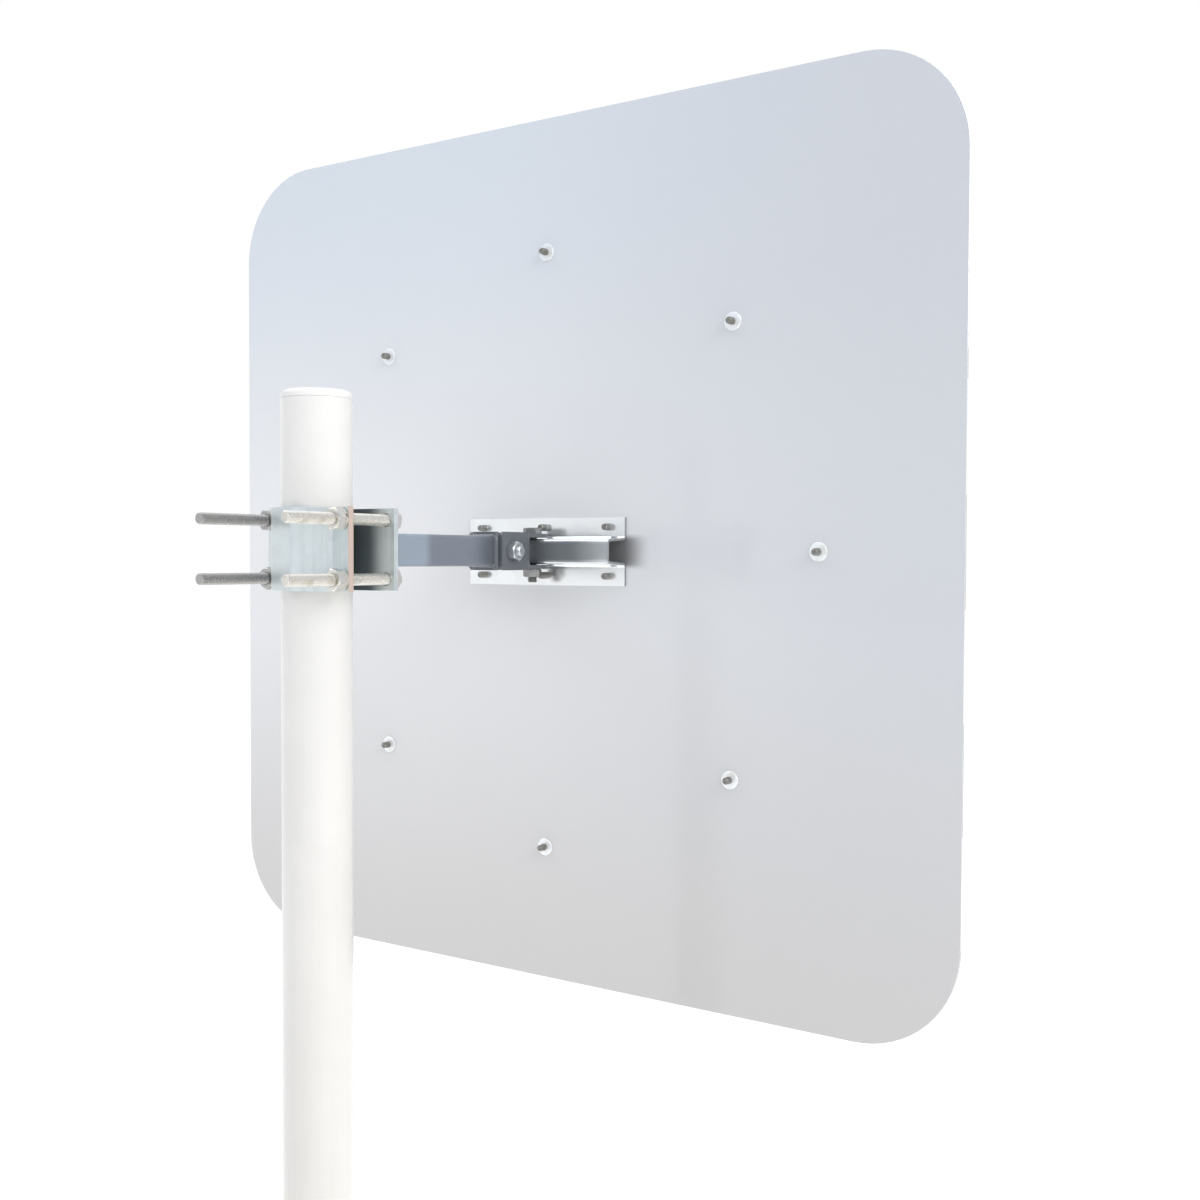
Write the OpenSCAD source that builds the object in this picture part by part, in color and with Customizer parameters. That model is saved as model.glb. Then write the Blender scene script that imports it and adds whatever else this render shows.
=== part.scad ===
// Pole-mounted convex traffic mirror on a rounded square panel, with a bolted pole clamp,
// a stand-off arm and a two-axis knuckle. Millimetres. The origin is the middle of the base
// plate's underside, +Z is up the post, and the mirror faces +X.

/* [Post] */
// Outside diameter of the post tube
post_d = 60.3; // [48.3:0.1:76.1]
// Wall thickness of the post tube
post_wall = 3.2; // [2:0.1:5]
// Height of the clamp's centre above the ground
clamp_z = 1550; // [900:10:2600]
// Height of the top of the post above the clamp's centre
post_above_clamp = 135; // [60:5:400]
// Height of the domed cap on the post
cap_h = 8; // [6:0.5:14]
// Rounding of the cap's top edge
cap_edge_r = 5; // [2:0.5:5.5]
// Depth of the cap's plug inside the post
cap_plug = 22; // [10:1:40]

/* [Base plate] */
// Side of the square base plate
base_side = 350; // [260:10:450]
// Thickness of the base plate
base_t = 10; // [8:1:20]
// Corner radius of the base plate
base_corner_r = 15; // [5:1:30]
// Distance between the anchor holes
base_pitch = 280; // [180:10:380]
// Diameter of the anchor holes
base_hole_d = 18; // [12:1:26]
// Leg of the fillet weld around the post
post_weld = 6; // [3:1:10]

/* [Clamp] */
// Height of both clamp jaws
jaw_h = 70; // [60:1:110]
// Plate thickness of both clamp jaws
jaw_t = 5; // [3:0.5:8]
// Distance from the clamp bolts out to the sides of the flat inner jaw
inner_jaw_edge = 10; // [8:0.5:25]
// Distance from the clamp bolts out to the sides of the bent outer jaw
outer_jaw_edge = 12; // [10:0.5:25]
// Slope of the outer jaw's cheeks against its flanges, in degrees
jaw_slope = 50; // [45:1:60]
// Distance of the outer jaw's flange faces from the post's axis
jaw_flange_x = 10; // [6:1:14]
// Angle by which the outer jaw is pulled up out of square, in degrees
jaw_skew = 12; // [0:1:14]
// Space left between each jaw and the post
jaw_gap = 0.35; // [0.3:0.05:0.6]
// Space along the outer jaw's flanges from its folds to the washers
washer_space = 4.2; // [4:0.1:8]
// Distance between the clamp bolts up the post
clamp_pitch_z = 50; // [40:1:60]
// Length of the clamp bolts under the head
clamp_bolt_len = 120; // [100:5:150]

/* [Arm] */
// Side of the square arm tube
arm_side = 30; // [25:1:40]
// Wall thickness of the arm tube
arm_wall = 2.5; // [2:0.5:4]
// Corner radius of the arm tube
arm_corner_r = 4; // [3:0.5:6]
// Distance from the post's axis to the tilt bolt
tilt_x = 245; // [180:5:400]
// Leg of the fillet welds at the arm's two ends
arm_weld = 4; // [2:0.5:4]

/* [Knuckle] */
// Diameter of every bolt
bolt_d = 10; // [8:0.5:12]
// Plate thickness of the yoke and both forks
fork_t = 4; // [3:0.5:5]
// How far the yoke stands out past each side of the arm
yoke_side = 2; // [1:0.5:5]
// How far the yoke's web and the tilt fork stand out above and below the arm
fork_side = 4; // [2:0.5:7]
// Radius of the yoke's and pan fork's rounded ends
ear_r = 16; // [12:1:17]
// Distance from the tilt bolt back to the yoke's web
yoke_reach = 15; // [12:1:30]
// Distance from the tilt bolt forward to the tilt fork's web
tilt_reach = 28; // [24:1:40]
// Distance that the tilt fork's ears run back past the tilt bolt
tilt_tail = 16; // [12:1:18]
// Distance from the pan fork's web to the pan bolt
pan_reach = 26; // [25:1:40]
// Centreline radius of the bends in the yoke and forks
fork_bend = 5; // [4:0.5:6]
// How far the tilt bolt runs past its nut
tilt_bolt_past = 4; // [2:0.5:15]
// How far the pan bolt runs past its nut
pan_bolt_past = 5.5; // [2:0.5:15]
// Wall thickness of the two spacer sleeves
sleeve_wall = 1.4; // [1:0.1:1.6]

/* [Mounting rail] */
// Length of the hat-section rail
rail_len = 200; // [180:5:300]
// Overall height of the rail over both flanges
rail_h = 70; // [66:1:80]
// Depth of the rail from the panel to its web
rail_depth = 34; // [32:1:45]
// Height of the channel where it meets the flanges
rail_foot_h = 28; // [26:0.5:30]
// Height of the channel at its web
rail_web_h = 24.5; // [22:0.5:26]
// Sheet thickness of the rail
rail_t = 2.5; // [1.5:0.1:3]
// Centreline radius of the rail's bends
rail_bend = 3.5; // [2.5:0.5:4]
// Distance between neighbouring rivets along the rail
rail_pitch_y = 80; // [60:1:90]
// Distance between the rail's two rows of rivets
rail_pitch_z = 50; // [46:1:56]
// Distance from the rail's web in to the pan bolt
pan_inset = 10; // [9.5:0.5:11]

/* [Panel] */
// Side of the square panel
panel_side = 900; // [760:10:1200]
// Corner radius of the panel
panel_corner_r = 100; // [20:5:150]
// Sheet thickness of the panel
panel_t = 2; // [1.5:0.5:4]
// Number of blocks along each side of the border
border_blocks = 9; // [7:2:15]
// Thickness of the border film
film_t = 0.3; // [0.2:0.1:0.5]

/* [Mirror] */
// Diameter of the circle of fixing rivets
rivet_pcd = 623; // [560:1:640]
// Number of fixing rivets
rivet_count = 8; // [4:1:16]
// Diameter of the washers behind the panel
washer_d = 18; // [12:1:24]
// Thickness of the washers behind the panel
washer_t = 1.5; // [1:0.1:2.5]
// Width of the mirror's flat flange
flange_w = 45; // [30:1:60]
// Distance from the rivet circle to the flange's outer edge
flange_edge = 18; // [12:1:24]
// Wall thickness of the mirror
dome_t = 3; // [2:0.5:5]
// Rise of the convex mirror above its flange
dome_rise = 55; // [30:1:90]
// Thickness of the seal under the flange
seal_t = 2; // [1:0.5:4]
// Thickness of the ring over the flange
ring_t = 3; // [2:0.5:5]
// Width of the ring's lip outside the flange
ring_lip = 5; // [3:0.5:8]

/* [Rivets] */
// Diameter of the rivets' bodies
rivet_d = 4.8; // [4:0.1:6.4]
// Diameter of the set tails
tail_d = 7.2; // [6:0.1:9]
// Length of the set tails
tail_len = 9; // [6:0.5:11]
// Diameter of the mirror rivets' heads
big_head_d = 14; // [10:0.5:16]
// Diameter of the rail rivets' heads
small_head_d = 9.5; // [8:0.5:12]

/* [Hidden] */
$fn = 64;

run_clear = 0.08;                    // radial clearance of a bolt in a bore that turns on it
hole_clear = 0.5;                    // radial clearance of a bolt in a plain hole
fit_clear = 0.05;                    // radial clearance of a nut, washer or rivet on its shank
face_clear = 0.3;                    // gap between flat faces that turn past each other
cut = 1;                             // how far a cutting shape runs past what it cuts

// A metric bolt's usual proportions, from its diameter
hex_af = 1.7 * bolt_d;
hex_r = hex_af / sqrt(3);
head_h = 0.64 * bolt_d;
nut_h = 0.84 * bolt_d;
spring_washer_r = 0.905 * bolt_d;
spring_washer_t = 0.22 * bolt_d;
end_chamfer = 0.08 * bolt_d;

post_r = post_d / 2;
bear_x = post_r + jaw_gap + jaw_t / 2;       // centrelines of the outer jaw's web and flanges
flange_x = jaw_flange_x - jaw_t / 2;
web_y = bear_x * tan(jaw_slope / 2);
fold_y = web_y + (bear_x - flange_x) / tan(jaw_slope);
clamp_y = fold_y + washer_space + spring_washer_r;
inner_jaw_w = 2 * (clamp_y + inner_jaw_edge);
outer_jaw_w = 2 * (clamp_y + outer_jaw_edge);
yoke_w = arm_side + 2 * yoke_side;
fork_h = arm_side + 2 * fork_side;
pan_back = rail_depth - pan_inset;
post_top = clamp_z + post_above_clamp - cap_h;
inner_jaw_x = post_r + jaw_gap;      // the inner jaw's face against the post
arm_x = inner_jaw_x + jaw_t;         // where the arm starts
yoke_x = tilt_x - yoke_reach;        // front face of the yoke's web
tilt_web_x = tilt_x + tilt_reach;    // back face of the tilt fork's web
pan_web_x = tilt_web_x + fork_t;     // where the two forks' webs meet
pan_x = pan_web_x + fork_t + pan_reach;
panel_x = pan_x + pan_back;          // the panel's back face
front_x = panel_x + panel_t;
fork_in = yoke_w / 2 + face_clear;   // inner faces of the tilt fork's ears
fork_out = fork_in + fork_t;
// The pan fork clears the channel at the widest point that its ears reach
channel_half = rail_web_h / 2
    + (rail_foot_h - rail_web_h) / 2 * (pan_inset + ear_r) / rail_depth;
pan_in = channel_half + 1.4 * face_clear;
pan_out = pan_in + fork_t;
sleeve_d = bolt_d + 2 * (run_clear + sleeve_wall);
tilt_bolt_len = 2 * fork_out + nut_h + tilt_bolt_past;
pan_bolt_len = 2 * pan_out + nut_h + pan_bolt_past;
flange_r = rivet_pcd / 2 + flange_edge;
dome_r = flange_r - flange_w;        // radius where the convex part starts
sphere_r = (dome_r * dome_r + dome_rise * dome_rise) / (2 * dome_rise);
seal_x = front_x;
dome_x = seal_x + seal_t;
ring_x = dome_x + dome_t;
ring_top = ring_x + ring_t;
rivet_hole_r = rivet_d / 2 + fit_clear;

// Turns a shape so that its own Z lies along the row's X, with its X along Y
module along_x(x = 0) { translate([x, 0, 0]) rotate([90, 0, 90]) children(); }

// Lifts a shape to the height of the clamp and the knuckle
module at_clamp() { translate([0, 0, clamp_z]) children(); }

// Square outline with round corners, about its middle
module rounded_square(w, h, r) {
    square([w - 2 * r, h], center = true);
    square([w, h - 2 * r], center = true);
    for (x = [-1, 1], y = [-1, 1])
        translate([x * (w / 2 - r), y * (h / 2 - r)]) circle(r);
}

function unit(v) = v / norm(v);
function left_of(u) = [-u[1], u[0]];
function turn_between(a, b) = atan2(a[0] * b[1] - a[1] * b[0], a * b);

// One round bend of a bent plate, seen at a signed distance off its centreline
function bend_points(p, a, b, r, off, steps) =
    let (turn = turn_between(a, b), s = sign(turn),
         middle = p - a * r * tan(abs(turn) / 2) + s * r * left_of(a),
         start = atan2(a[1], a[0]))
    [for (k = [0:steps]) let (h = start + turn * k / steps)
        middle - s * (r - s * off) * left_of([cos(h), sin(h)])];

// One side of a plate bent along a path, with round bends
function side_points(path, r, off, steps = 6) =
    let (last = len(path) - 1)
    [for (i = [0:last])
        let (a = unit(path[max(i, 1)] - path[max(i, 1) - 1]),
             b = unit(path[min(i + 1, last)] - path[min(i + 1, last) - 1]),
             ends = [path[i] + off * left_of(a)])
        for (q = (i == 0 || i == last) ? ends : bend_points(path[i], a, b, r, off, steps)) q];

function backwards(list) = [for (i = [len(list) - 1:-1:0]) list[i]];

// Outline of a plate of thickness t, bent along its centreline
module bent_plate(path, t, r) {
    polygon(concat(side_points(path, r, t / 2), backwards(side_points(path, r, -t / 2))));
}

// U-shaped outline that opens along +X or -X, with its web centred at web_x
module u_outline(web_x, end_x, half, t, r) {
    bent_plate([[end_x, half], [web_x, half], [web_x, -half], [end_x, -half]], t, r);
}

// Places its children at every clamp bolt
module at_clamp_bolts() {
    for (y = [-1, 1], z = [-1, 1])
        translate([0, y * clamp_y, z * clamp_pitch_z / 2]) children();
}

// The face of the outer jaw's flange is met by a washer on the bolt at this y
function nut_seat(y) =
    -(jaw_flange_x + (spring_washer_r - y) * sin(jaw_skew)) / cos(jaw_skew);

// Hexagon bolt along -Z, the underside of its head at z = 0
module hex_bolt(length) {
    cylinder(r = hex_r, h = head_h, $fn = 6);
    translate([0, 0, -length + end_chamfer])
        cylinder(d = bolt_d, h = length - end_chamfer);
    translate([0, 0, -length])
        cylinder(d1 = bolt_d - 2 * end_chamfer, d2 = bolt_d, h = end_chamfer);
}

// Hexagon nut from z = 0 up
module hex_nut() {
    difference() {
        cylinder(r = hex_r, h = nut_h, $fn = 6);
        translate([0, 0, -cut]) cylinder(r = bolt_d / 2 + fit_clear, h = nut_h + 2 * cut);
    }
}

// Flat ring from z = 0 up
module flat_ring(r_out, r_in, h) {
    difference() {
        cylinder(r = r_out, h = h);
        translate([0, 0, -cut]) cylinder(r = r_in, h = h + 2 * cut);
    }
}

// Set blind rivet along +Z: its head above z = grip, its bulged and hollow tail below z = 0
module blind_rivet(grip, head_d) {
    head_t = head_d / 7;
    hollow_r = rivet_d / 4;
    bulge_r = tail_d / 2;
    rotate_extrude() difference() {
        union() {
            translate([0, -tail_len + bulge_r / 2]) square([bulge_r, tail_len - bulge_r / 2]);
            translate([0, -tail_len]) square([bulge_r / 2, tail_len]);
            intersection() {
                translate([bulge_r / 2, -tail_len + bulge_r / 2]) circle(bulge_r / 2);
                translate([0, -tail_len]) square([bulge_r, tail_len]);
            }
            square([rivet_d / 2, grip]);
            translate([0, grip]) polygon([[0, 0], [head_d / 2, 0],
                [head_d / 2 - head_t, head_t], [0, head_t]]);
        }
        translate([0, -tail_len - cut]) square([hollow_r, tail_len / 4 + cut]);
    }
}

module at_mirror_rivets() {
    for (i = [0:rivet_count - 1])
        rotate([i * 360 / rivet_count, 0, 0]) translate([0, 0, rivet_pcd / 2]) children();
}

module at_rail_rivets() {
    for (y = [-1, 0, 1], z = [-1, 1])
        translate([0, y * rail_pitch_y, z * rail_pitch_z / 2]) children();
}

// Holes along X through whatever the mirror's rivets pass
module mirror_rivet_holes() {
    at_mirror_rivets() along_x(panel_x - cut)
        cylinder(r = rivet_hole_r, h = ring_top - panel_x + 2 * cut);
}

// ---- Post ----

module post_tube() {
    color("whitesmoke") translate([0, 0, base_t])
        flat_ring(post_r, post_r - post_wall, post_top - base_t);
}

module post_cap() {
    plug_r = post_r - post_wall - face_clear / 2;
    color("white") translate([0, 0, post_top]) rotate_extrude() {
        translate([0, -cap_plug]) square([plug_r, cap_plug]);
        square([post_r, cap_h - cap_edge_r]);
        square([post_r - cap_edge_r, cap_h]);
        intersection() {
            translate([post_r - cap_edge_r, cap_h - cap_edge_r]) circle(cap_edge_r);
            square([post_r, cap_h]);
        }
    }
}

module base_plate() {
    color("silver") difference() {
        linear_extrude(base_t) rounded_square(base_side, base_side, base_corner_r);
        for (x = [-1, 1], y = [-1, 1])
            translate([x * base_pitch / 2, y * base_pitch / 2, -cut])
                cylinder(d = base_hole_d, h = base_t + 2 * cut);
    }
}

module base_weld() {
    color("gray") rotate_extrude()
        polygon([[post_r, base_t], [post_r + post_weld, base_t], [post_r, base_t + post_weld]]);
}

// ---- Clamp and arm ----

module inner_jaw() {
    color("gainsboro") at_clamp() difference() {
        translate([inner_jaw_x, -inner_jaw_w / 2, -jaw_h / 2])
            cube([jaw_t, inner_jaw_w, jaw_h]);
        at_clamp_bolts() along_x(inner_jaw_x - cut)
            cylinder(r = bolt_d / 2 + hole_clear, h = jaw_t + 2 * cut);
    }
}

// Hat-shaped jaw: its web and both cheeks bear on the post, its flanges take the bolts
module outer_jaw() {
    color("gainsboro") at_clamp() difference() {
        rotate([0, 0, -jaw_skew]) translate([0, 0, -jaw_h / 2]) linear_extrude(jaw_h)
            bent_plate([
                [-flange_x, outer_jaw_w / 2], [-flange_x, fold_y], [-bear_x, web_y],
                [-bear_x, -web_y], [-flange_x, -fold_y], [-flange_x, -outer_jaw_w / 2]
            ], jaw_t, jaw_t);
        at_clamp_bolts() along_x(-post_r - jaw_t)
            cylinder(r = bolt_d / 2 + hole_clear, h = post_r + jaw_t + inner_jaw_x);
    }
}

module clamp_bolts() {
    color("lightgray") at_clamp() at_clamp_bolts() along_x(arm_x) hex_bolt(clamp_bolt_len);
}

module clamp_washers() {
    color("lightgray") at_clamp() for (y = [-1, 1], z = [-1, 1])
        translate([nut_seat(y * clamp_y) - spring_washer_t,
                   y * clamp_y, z * clamp_pitch_z / 2])
            along_x() flat_ring(spring_washer_r, bolt_d / 2 + fit_clear, spring_washer_t);
}

module clamp_nuts() {
    color("silver") at_clamp() for (y = [-1, 1], z = [-1, 1])
        translate([nut_seat(y * clamp_y) - spring_washer_t - nut_h,
                   y * clamp_y, z * clamp_pitch_z / 2])
            along_x() hex_nut();
}

module arm_tube() {
    inner = arm_side - 2 * arm_wall;
    color("slategray") at_clamp() along_x(arm_x)
        linear_extrude(yoke_x - fork_t - arm_x) difference() {
            rounded_square(arm_side, arm_side, arm_corner_r);
            rounded_square(inner, inner, arm_corner_r - arm_wall);
        }
}

// Fillet weld around the arm's square tube, its wide foot at z = 0
module tube_weld(leg) {
    difference() {
        hull() {
            linear_extrude(0.2) rounded_square(arm_side + 2 * leg, arm_side + 2 * leg,
                arm_corner_r + leg, $fn = 32);
            linear_extrude(leg) rounded_square(arm_side + 0.4, arm_side + 0.4,
                arm_corner_r + 0.2, $fn = 32);
        }
        translate([0, 0, -cut]) linear_extrude(leg + 2 * cut)
            rounded_square(arm_side, arm_side, arm_corner_r);
    }
}

module arm_clamp_weld() {
    color("slategray") at_clamp() along_x(arm_x) tube_weld(arm_weld);
}

// The weld at the yoke is kept inside the yoke's web
module arm_yoke_weld() {
    leg = min(arm_weld, yoke_side);
    color("slategray") at_clamp() along_x(yoke_x - fork_t)
        mirror([0, 0, 1]) tube_weld(leg);
}

// U-shaped yoke on the arm's end: a tall web and two round-ended ears
module arm_yoke() {
    color("dimgray") at_clamp() difference() {
        intersection() {
            translate([0, 0, -fork_h / 2]) linear_extrude(fork_h)
                u_outline(yoke_x - fork_t / 2, tilt_x + ear_r, (yoke_w - fork_t) / 2,
                    fork_t, fork_bend);
            union() {
                translate([yoke_x - fork_t, -yoke_w, -fork_h / 2])
                    cube([fork_t, 2 * yoke_w, fork_h]);
                translate([yoke_x - fork_t, -yoke_w, -ear_r])
                    cube([yoke_reach + fork_t, 2 * yoke_w, 2 * ear_r]);
                translate([tilt_x, -yoke_w, 0]) rotate([-90, 0, 0])
                    cylinder(r = ear_r, h = 2 * yoke_w);
            }
        }
        translate([tilt_x, -yoke_w, 0]) rotate([-90, 0, 0])
            cylinder(r = bolt_d / 2 + run_clear, h = 2 * yoke_w);
    }
}

module tilt_sleeve() {
    half = yoke_w / 2 - fork_t;
    color("silver") at_clamp() translate([tilt_x, -half, 0]) rotate([-90, 0, 0])
        flat_ring(sleeve_d / 2, bolt_d / 2 + run_clear, 2 * half);
}

// ---- Knuckle ----

module tilt_fork() {
    chamfer = fork_h / 12;
    start = tilt_x - tilt_tail;
    color("dimgray") at_clamp() difference() {
        translate([0, 0, -fork_h / 2]) linear_extrude(fork_h)
            u_outline(tilt_web_x + fork_t / 2, start, fork_in + fork_t / 2, fork_t, fork_bend);
        translate([tilt_x, -fork_out - cut, 0]) rotate([-90, 0, 0])
            cylinder(r = bolt_d / 2 + run_clear, h = 2 * (fork_out + cut));
        for (z = [-1, 1]) translate([start, 0, z * fork_h / 2]) rotate([0, 45, 0])
            cube([chamfer * sqrt(2), 3 * fork_out, chamfer * sqrt(2)], center = true);
    }
}

// The second fork is welded to the first one's web, and straddles the rail's channel
module pan_fork() {
    color("dimgray") at_clamp() difference() {
        intersection() {
            translate([0, ear_r, 0]) rotate([90, 0, 0]) linear_extrude(2 * ear_r)
                u_outline(pan_web_x + fork_t / 2, pan_x + ear_r, pan_in + fork_t / 2,
                    fork_t, fork_bend);
            union() {
                translate([pan_web_x, -ear_r, -fork_h])
                    cube([pan_x - pan_web_x, 2 * ear_r, 2 * fork_h]);
                translate([pan_x, 0, -fork_h]) cylinder(r = ear_r, h = 2 * fork_h);
            }
        }
        translate([pan_x, 0, -fork_h])
            cylinder(r = bolt_d / 2 + run_clear, h = 2 * fork_h);
    }
}

module tilt_bolt() {
    color("lightgray") at_clamp() translate([tilt_x, fork_out, 0])
        rotate([-90, 0, 0]) hex_bolt(tilt_bolt_len);
}

module tilt_nut() {
    color("silver") at_clamp() translate([tilt_x, -fork_out, 0])
        rotate([90, 0, 0]) hex_nut();
}

module pan_bolt() {
    color("lightgray") at_clamp() translate([pan_x, 0, pan_out]) hex_bolt(pan_bolt_len);
}

module pan_nut() {
    color("silver") at_clamp() translate([pan_x, 0, -pan_out])
        mirror([0, 0, 1]) hex_nut();
}

// ---- Mirror head ----

// Hat-section rail: two flanges riveted to the panel and a slightly tapered channel
module mount_rail() {
    half_t = rail_t / 2;
    foot_x = panel_x - half_t;
    web_x = panel_x - rail_depth + half_t;
    foot_z = rail_foot_h / 2 - half_t;
    web_z = rail_web_h / 2 - half_t;
    color("gainsboro") at_clamp() difference() {
        translate([0, rail_len / 2, 0]) rotate([90, 0, 0]) linear_extrude(rail_len)
            bent_plate([
                [foot_x, rail_h / 2], [foot_x, foot_z], [web_x, web_z],
                [web_x, -web_z], [foot_x, -foot_z], [foot_x, -rail_h / 2]
            ], rail_t, rail_bend);
        translate([pan_x, 0, -rail_h / 2])
            cylinder(r = bolt_d / 2 + run_clear, h = rail_h);
        at_rail_rivets() along_x(panel_x - rail_t - cut)
            cylinder(r = rivet_hole_r, h = rail_t + 2 * cut);
    }
}

// Spacer between the channel's walls, as long as the bends at its narrow side allow
module pan_sleeve() {
    narrow = pan_inset - sleeve_d / 2;
    inside_r = rail_bend - rail_t / 2;
    into_bend = max(0, inside_r - (narrow - rail_t));
    bend_loss = inside_r - sqrt(inside_r * inside_r - into_bend * into_bend);
    half = rail_web_h / 2 - rail_t - bend_loss - 2 * fit_clear
        + (rail_foot_h - rail_web_h) / 2 * narrow / rail_depth;
    color("silver") at_clamp() translate([pan_x, 0, -half])
        flat_ring(sleeve_d / 2, bolt_d / 2 + run_clear, 2 * half);
}

module rail_rivets() {
    color("gray") at_clamp() at_rail_rivets() along_x(panel_x - rail_t)
        blind_rivet(rail_t + panel_t, small_head_d);
}

module back_panel() {
    color("lightsteelblue") at_clamp() difference() {
        along_x(panel_x) linear_extrude(panel_t)
            rounded_square(panel_side, panel_side, panel_corner_r);
        mirror_rivet_holes();
        at_rail_rivets() along_x(panel_x - cut)
            cylinder(r = rivet_hole_r, h = panel_t + 2 * cut);
    }
}

module rivet_washers() {
    color("white") at_clamp() at_mirror_rivets() along_x(panel_x - washer_t)
        flat_ring(washer_d / 2, rivet_hole_r, washer_t);
}

module mirror_rivets() {
    color("gray") at_clamp() at_mirror_rivets() along_x(panel_x - washer_t)
        blind_rivet(washer_t + ring_top - panel_x, big_head_d);
}

module seal_ring() {
    color("black") at_clamp() difference() {
        along_x(seal_x) flat_ring(flange_r, dome_r + seal_t, seal_t);
        mirror_rivet_holes();
    }
}

// Flat flange and a convex shell, one piece
module mirror_dome() {
    color("aliceblue") at_clamp() difference() {
        along_x(dome_x) rotate_extrude($fn = 128) {
            difference() {
                square([flange_r, dome_t]);
                translate([-cut, -cut]) square([dome_r - dome_t + cut, dome_t + 2 * cut]);
            }
            intersection() {
                translate([0, dome_t + dome_rise - sphere_r]) difference() {
                    circle(sphere_r, $fn = 256);
                    circle(sphere_r - dome_t, $fn = 256);
                }
                square([dome_r, dome_t + dome_rise]);
            }
        }
        mirror_rivet_holes();
    }
}

// Ring over the flange, with a lip that covers its edge down to the panel
module retaining_ring() {
    color("dimgray") at_clamp() difference() {
        along_x(front_x) rotate_extrude($fn = 128) {
            translate([dome_r + ring_t, ring_x - front_x])
                square([flange_r + ring_lip - dome_r - ring_t, ring_t]);
            translate([flange_r + face_clear, 0])
                square([ring_lip - face_clear, ring_top - front_x]);
        }
        mirror_rivet_holes();
    }
}

// Film blocks on every other cell around the panel's front, its corners included
module border_film() {
    cell = panel_side / border_blocks;
    last = border_blocks - 1;
    color("black") at_clamp() along_x(front_x) linear_extrude(film_t) intersection() {
        rounded_square(panel_side, panel_side, panel_corner_r);
        difference() {
            for (i = [0:last], j = [0:last])
                if ((i == 0 || j == 0 || i == last || j == last) && (i + j) % 2 == 0)
                    translate([i * cell - panel_side / 2, j * cell - panel_side / 2])
                        square(cell);
            circle(flange_r + ring_lip + ring_t);
        }
    }
}

post_tube();
post_cap();
base_plate();
base_weld();
inner_jaw();
outer_jaw();
clamp_bolts();
clamp_washers();
clamp_nuts();
arm_tube();
arm_clamp_weld();
arm_yoke_weld();
arm_yoke();
tilt_sleeve();
tilt_fork();
pan_fork();
tilt_bolt();
tilt_nut();
pan_bolt();
pan_nut();
mount_rail();
pan_sleeve();
rail_rivets();
back_panel();
rivet_washers();
mirror_rivets();
seal_ring();
mirror_dome();
retaining_ring();
border_film();
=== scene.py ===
"""Looks of a pole-mounted convex traffic mirror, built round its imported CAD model.

Every piece is shaped with Blender's own operators at the place its CAD node gives, gets a
procedural finish, and rides on its CAD body. All sizes are in metres.
"""

import math
from contextlib import contextmanager

import bpy
from bpy.props import FloatProperty, FloatVectorProperty, IntProperty, PointerProperty
from bpy.types import Operator, Panel, PropertyGroup
from mathutils import Matrix, Vector, noise


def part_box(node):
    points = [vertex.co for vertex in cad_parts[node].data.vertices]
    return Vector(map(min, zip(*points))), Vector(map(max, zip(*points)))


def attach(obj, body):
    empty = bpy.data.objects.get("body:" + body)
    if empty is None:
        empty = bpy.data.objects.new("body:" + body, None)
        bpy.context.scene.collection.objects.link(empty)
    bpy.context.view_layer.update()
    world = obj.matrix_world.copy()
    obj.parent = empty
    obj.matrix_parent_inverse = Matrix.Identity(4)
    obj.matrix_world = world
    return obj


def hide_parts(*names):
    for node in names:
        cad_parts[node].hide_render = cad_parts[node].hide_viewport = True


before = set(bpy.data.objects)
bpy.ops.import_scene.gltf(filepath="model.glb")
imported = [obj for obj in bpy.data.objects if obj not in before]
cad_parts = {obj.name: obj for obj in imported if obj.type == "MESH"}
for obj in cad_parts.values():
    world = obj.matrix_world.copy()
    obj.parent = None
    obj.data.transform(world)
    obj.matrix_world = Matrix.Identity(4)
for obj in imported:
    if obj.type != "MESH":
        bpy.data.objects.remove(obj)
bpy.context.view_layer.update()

bl_info = {
    "name": "Convex Traffic Mirror",
    "version": (1, 0, 0),
    "blender": (4, 5, 0),
    "location": "3D View > Sidebar > Traffic Mirror",
    "description": "Shapes and finishes of a pole-mounted convex traffic mirror",
    "category": "Add Mesh",
}

MM = 0.001
TINY = 1e-6
ALONG_X = Matrix.Rotation(math.pi / 2, 4, "Y")
# Proportions of the bolts, as shares of the thread's diameter, and of the thread, as shares of its pitch
HEX_ACROSS = 1.7
HEAD_HEIGHT = 0.64
THREAD_DEPTH = 0.613
THREAD_START = -1.487
CRISP = 25  # degrees: edges sharper than this stay hard on small metal parts
NUT_PLAY = 0.04 * MM
# Place of the camera from the middle of the panel's back, and the way that it faces
EYE = Vector((-1.1793, -0.8579, -0.00545))
EYE_FORWARD = Vector((0.8306, 0.5561, -0.0310))
EYE_RIGHT = Vector((0.5564, -0.8309, 0.0040))
LENS = 41.64
SENSOR = 36.0
# Soft lamps: name, place from the middle of the panel, side and watts
LAMPS = (
    ("key", Vector((-1.2, -3.6, 2.0)), 2.0, 66),
    ("fill", Vector((-1.0, 3.2, 3.2)), 2.4, 28),
    ("front", Vector((3.2, -1.2, 1.8)), 2.4, 40),
)


def paint(red, green, blue):
    """A colour given as 0 to 255 on a screen, in the linear values that shaders take."""
    return tuple((c / 255 / 12.92) if c < 11 else ((c / 255 + 0.055) / 1.055) ** 2.4 for c in (red, green, blue))


# ---- Sizes and colours that a user may change ----


def length(name, text, default):
    return FloatProperty(name=name, description=text, default=default, min=0.0, subtype="DISTANCE", unit="LENGTH")


def colour(name, text, *screen):
    return FloatVectorProperty(
        name=name, description=text, default=paint(*screen), size=3, min=0.0, max=1.0, subtype="COLOR"
    )


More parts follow.
